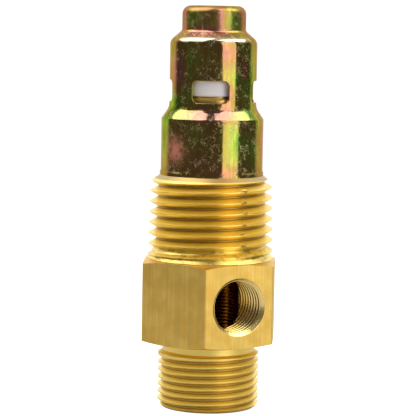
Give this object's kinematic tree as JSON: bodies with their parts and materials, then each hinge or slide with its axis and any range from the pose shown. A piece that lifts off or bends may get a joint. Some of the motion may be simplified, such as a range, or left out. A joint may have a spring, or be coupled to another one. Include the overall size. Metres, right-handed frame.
{
  "type": "in-tank check valve",
  "caption": "Brass check valve with a tapered tank thread, a tube fitting, a side port and a slotted steel cap that guides a sprung plastic poppet.",
  "frame": {"origin": "centre of the inlet end face, the lowest point of the valve standing on its tube fitting", "axes": "+Z along the valve's axis towards the cap, -Y out of the side port"},
  "size_m": [0.0256, 0.0222, 0.0688],
  "materials": {
    "brass": "turned and drawn yellow brass, bright, lightly oxidised in the thread roots",
    "plated_steel": "zinc plated drawn steel with an iridescent yellow chromate film",
    "poppet_plastic": "white PTFE, turned",
    "spring_steel": "drawn stainless spring wire"
  },
  "bodies": {
    "valve": {"valve_body": "brass", "cage_cap": "plated_steel", "spring": "spring_steel"},
    "poppet": {"poppet": "poppet_plastic"}
  },
  "joints": [
    {"name": "poppet_lift", "type": "slide", "parent": "valve", "child": "poppet", "axis": [0, 0, 1], "range_m": [0, 0.0034], "stiffness_N_per_m": 250, "springref_m": -0.0048, "deforming": ["spring"]}
  ]
}
